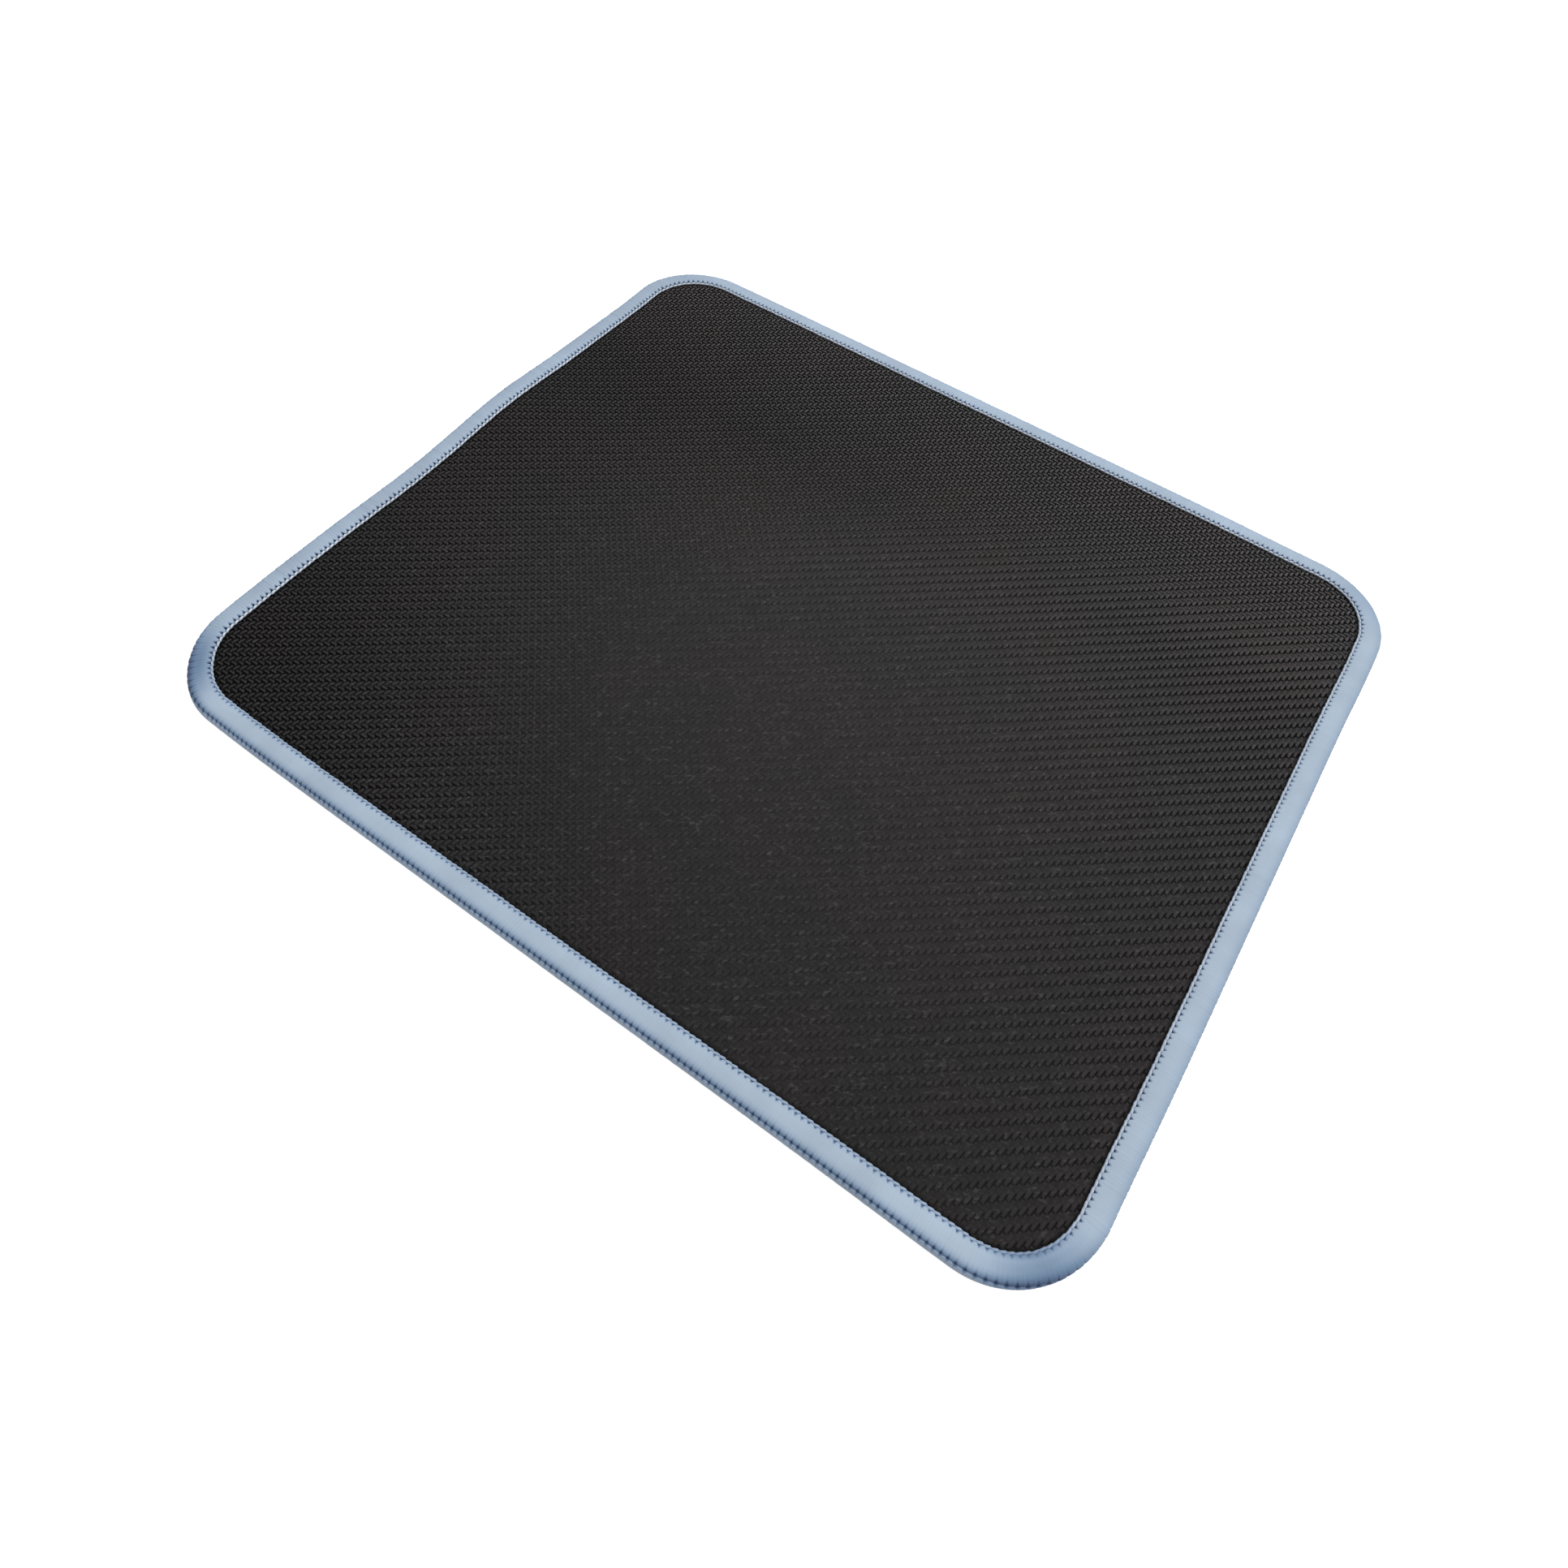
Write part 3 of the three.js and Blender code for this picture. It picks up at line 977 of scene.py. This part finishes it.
def looper_surface(insets, heights, upper):
    """A looper's outer skin with its strands, gaps and tuck at the purl line, and the painted shade of its
    folds and gaps.
    """
    reach = reach_along(insets, heights)
    back = reach[:, -1:] - reach
    # The upper section starts at the needle line, and the lower one at the purl line
    from_needle, from_purl = (reach, back) if upper else (back, reach)
    rib, needle_gap, purl_gap = strands(from_needle, from_purl, per_stitch(*NOTCH_STRETCH))
    groove = RIB_HEIGHT * (1 - rib) * per_stitch(*RIB_SPREAD)
    tuck = np.clip(1 - from_purl / PURL_TUCK_REACH, 0, 1) ** 2
    rise = UNEVEN * per_stitch(*UNEVEN_SPREAD) * rib - groove
    rise = rise - NOTCH_DEPTH * needle_gap - PURL_NOTCH_DEPTH * purl_gap - PURL_TUCK * tuck
    painted_shade = NOTCH_FOLD * needle_gap + PURL_FOLD * purl_gap + RIB_FOLD * groove
    painted_shade = painted_shade + looper_shade(insets, from_needle, from_purl)
    if upper:
        painted_shade = painted_shade + EDGE_SHADE * (1 - smoothstep(0, EDGE_SHADE_START, insets))
    insets, heights = raised(insets, heights, rise)
    return insets, heights, np.clip(painted_shade, 0, 1)


def closed_section(insets, heights, painted_shade, hidden):
    """A skin's section closed through hidden points (inset, height)."""
    every = np.ones(STATIONS)
    insets = np.column_stack([insets, *(every * inset for inset, _ in hidden)])
    heights = np.column_stack([heights, *(every * height for _, height in hidden)])
    painted_shade = np.column_stack([painted_shade, *(every for _ in hidden)])
    return swept(insets, heights), painted_shade


def upper_looper_piece(material):
    """Thread over the band: from the needle line across the crown and down to the purl line."""
    share = np.linspace(0, 1, CROWN_POINTS)[None] ** CROWN_CLOSE
    skewed = share ** BULGE_SKEW
    inner_up = CLOTH_LEVEL + INNER_RISE
    crown_in = INNER_LINE + (EDGE_RADIUS - INNER_LINE) * share
    crown_up = inner_up + (2 * EDGE_RADIUS - inner_up) * share + CROWN_BULGE * 4 * skewed * (1 - skewed)
    edge_in, edge_up = edge_curve(math.pi / 2, PURL_ANGLE, UPPER_EDGE_POINTS)
    insets = np.column_stack([crown_in, edge_in[:, 1:]])
    heights = np.column_stack([crown_up, edge_up[:, 1:]])
    insets, heights, painted_shade = looper_surface(insets, heights, upper=True)
    inner = INNER_LINE[:, 0]
    level = CLOTH_LEVEL[:, 0]
    low = level - UPPER_BACK_SINK
    hidden = [
        (edge_in[:, -1] + UPPER_BACK_IN, np.minimum(edge_up[:, -1] - UPPER_BACK_DROP, low)),
        (inner - UPPER_BACK_STEP, low),
        (inner, level - UPPER_BACK_DROP),
    ]
    runs = [closed_section(insets, heights, painted_shade, hidden)]
    return ring_piece("upper_looper_cover", runs, "upper_looper_thread", material)


def lower_looper_piece(material):
    """Thread under the band: from the purl line round the edge and back beneath the rubber."""
    edge_in, edge_up = edge_curve(PURL_ANGLE, -math.pi / 2, LOWER_EDGE_POINTS)
    under_in = EDGE_RADIUS + (INNER_LINE - EDGE_RADIUS) * np.linspace(0, 1, UNDER_POINTS)[None, 1:]
    insets = np.column_stack([edge_in, under_in])
    heights = np.column_stack([edge_up, np.zeros_like(under_in)])
    insets, heights, painted_shade = looper_surface(insets, heights, upper=False)
    heights = np.maximum(heights, 0)
    hidden = [
        (INNER_LINE[:, 0], UNDER_COVER),
        (LAMINATE_INSET + LOWER_BACK_STEP, UNDER_COVER + LOWER_BACK_RISE),
        (edge_in[:, 0] + LOWER_BACK_IN, edge_up[:, 0] - LOWER_BACK_DROP),
    ]
    runs = [closed_section(insets, heights, painted_shade, hidden)]
    return ring_piece("lower_looper_cover", runs, "lower_looper_thread", material)


# Needle thread

NEEDLE_SIDES = 8
NEEDLE_WIDTH = 0.32 * MM
NEEDLE_HEIGHT = 0.3 * MM
NEEDLE_LIFT = 0.1 * MM
NEEDLE_WANDER = 0.06 * MM
LIFT_SPREAD = (0.75, 1.2)
ARCH_POWER = 0.7

# Each stitch of the run: how far it thins and dives at its ends, its shade and its slant
BEAD_DIP = along_rim(front=0.1, right=0.05, rear=0.28, left=0.28)
BEAD_SHADE = along_rim(front=0.27, right=0.14, front_corner=0.2, right_corner=0.03)
BEAD_SLANT = along_rim(front=0.25, right=0.1, rear=0.2, left=0.25) * MM


def needle_run(level, height, lifted):
    """One run of the needle thread: a bulging slanted stretch per stitch that dives at each hole."""
    arch = np.sin(math.pi * PHASE) ** ARCH_POWER
    slant = BEAD_SLANT * (PHASE - 0.5) * (PHASE > 0)
    centre_in = NEEDLE_LINE + slant + per_stitch(-NEEDLE_WANDER, NEEDLE_WANDER)
    rise = NEEDLE_LIFT * arch * per_stitch(*LIFT_SPREAD) - BEAD_DIP * NEEDLE_HEIGHT * (1 - arch)
    centre_up = level + (rise if lifted else 0)
    swell = 1 - BEAD_DIP * (1 - arch)
    angle = np.arange(NEEDLE_SIDES)[None, ::-1] / NEEDLE_SIDES * 2 * math.pi
    insets = centre_in + NEEDLE_WIDTH * swell * np.cos(angle)
    heights = centre_up + height * swell * np.sin(angle)
    painted_shade = BEAD_SHADE + BEAD_DIP * (1 - arch)
    return swept(insets, heights), np.broadcast_to(painted_shade, insets.shape)


def needle_piece(material):
    """The needle thread's run on the cloth and its run under the rubber."""
    top = needle_run(CLOTH_LEVEL, NEEDLE_HEIGHT, lifted=True)
    under = needle_run(UNDER_COVER / 2, UNDER_COVER / 2, lifted=False)
    return ring_piece("needle_thread_run", [top, under], "needle_thread", material)


# Stage

# The photo's camera, by the point it aims at, its direction and its roll
CAMERA_AIM = Vector((19.47, -41.97, 3.4)) * MM
CAMERA_DISTANCE = 223.99 * MM
CAMERA_AZIMUTH = math.radians(29.144)
CAMERA_ELEVATION = math.radians(60.561)
CAMERA_ROLL = math.radians(5.977)
CAMERA_LENS = 21.84
SENSOR_WIDTH = 36.0

# Floor under the pad, and the soft light round it
FLOOR_HALF = 4.0
FLOOR_GAP = 0.05 * MM
FLOOR_GREY = 0.6
FLOOR_GLOW = 0.82
SKY_DIRECTION = Vector((0.25, 0.4, 0.88)).normalized()
SKY_LOW = (0.2, 0.2, 0.21)
SKY_HIGH = grey(0.66)


def make_camera():
    data = bpy.data.cameras.new("photo_camera")
    data.lens = CAMERA_LENS
    data.sensor_width = SENSOR_WIDTH
    camera = bpy.data.objects.new("photo_camera", data)
    level = math.cos(CAMERA_ELEVATION)
    away = Vector((
        level * math.sin(CAMERA_AZIMUTH),
        -level * math.cos(CAMERA_AZIMUTH),
        math.sin(CAMERA_ELEVATION),
    ))
    camera.location = CAMERA_AIM + away * CAMERA_DISTANCE
    camera.rotation_mode = "QUATERNION"
    camera.rotation_quaternion = (-away).to_track_quat("-Z", "Y") @ Quaternion((0, 0, 1), CAMERA_ROLL)
    bpy.context.scene.collection.objects.link(camera)
    bpy.context.scene.camera = camera


def camera_rays(tree):
    """1 for rays that show the background itself, and 0 for rays that light the object."""
    path = tree.nodes.new("ShaderNodeLightPath")
    seen = path.outputs["Is Camera Ray"]
    for kind in ("Is Glossy Ray", "Is Transmission Ray"):
        either = add_node(tree, "ShaderNodeMath", operation="MAXIMUM")
        tree.links.new(seen, either.inputs[0])
        tree.links.new(path.outputs[kind], either.inputs[1])
        seen = either.outputs[0]
    return seen


def make_floor():
    """A pale floor that looks white to the camera and keeps the pad's shadow."""
    level = cad_low.z - FLOOR_GAP
    corners = [(x * FLOOR_HALF, y * FLOOR_HALF, level) for x, y in ((-1, -1), (1, -1), (1, 1), (-1, 1))]
    mesh = bpy.data.meshes.new("floor")
    mesh.from_pydata(corners, [], [(0, 1, 2, 3)])
    material, tree, shader = new_material("pale_floor", grey(FLOOR_GREY), roughness=0.9, specular=0.0)
    shader.inputs["Emission Color"].default_value = (1, 1, 1, 1)
    glow = add_range(tree, camera_rays(tree), (0, 1), (0, FLOOR_GLOW))
    tree.links.new(glow, shader.inputs["Emission Strength"])
    mesh.materials.append(material)
    floor = bpy.data.objects.new("floor", mesh)
    bpy.context.scene.collection.objects.link(floor)


def make_world():
    """Soft light, strongest from above and behind, in front of a white background."""
    world = bpy.data.worlds.new("studio")
    world.use_nodes = True
    tree = world.node_tree
    background = tree.nodes["Background"]
    direction = tree.nodes.new("ShaderNodeTexCoord").outputs["Generated"]
    toward = add_node(tree, "ShaderNodeVectorMath", operation="DOT_PRODUCT")
    toward.inputs[1].default_value = SKY_DIRECTION
    tree.links.new(direction, toward.inputs[0])
    sky = add_ramp(tree, toward.outputs["Value"], (0.0, SKY_LOW), (0.9, SKY_HIGH))
    tree.links.new(add_mix(tree, camera_rays(tree), sky, grey(1)), background.inputs["Color"])
    bpy.context.scene.world = world


def make_softbox(name, place, size, power):
    """A square lamp that faces the middle of the pad."""
    data = bpy.data.lights.new(name, "AREA")
    data.size = size
    data.energy = power
    lamp = bpy.data.objects.new(name, data)
    lamp.location = place
    lamp.rotation_mode = "QUATERNION"
    lamp.rotation_quaternion = (-Vector(place)).to_track_quat("-Z", "Y")
    bpy.context.scene.collection.objects.link(lamp)


bpy.context.scene.view_settings.view_transform = "Standard"
make_camera()
make_world()
make_floor()
make_softbox("rear_softbox", place=(0.5, 0.8, 1.7), size=1.4, power=19.0)

cloth_piece(cloth_material())
film_piece(film_material())
rubber_piece(rubber_material())
upper_looper_piece(thread_material("upper_thread", PALE_BLUE))
lower_looper_piece(thread_material("lower_thread", LIT_UNDER_BLUE))
needle_piece(thread_material("needle_thread", NEEDLE_BLUE))
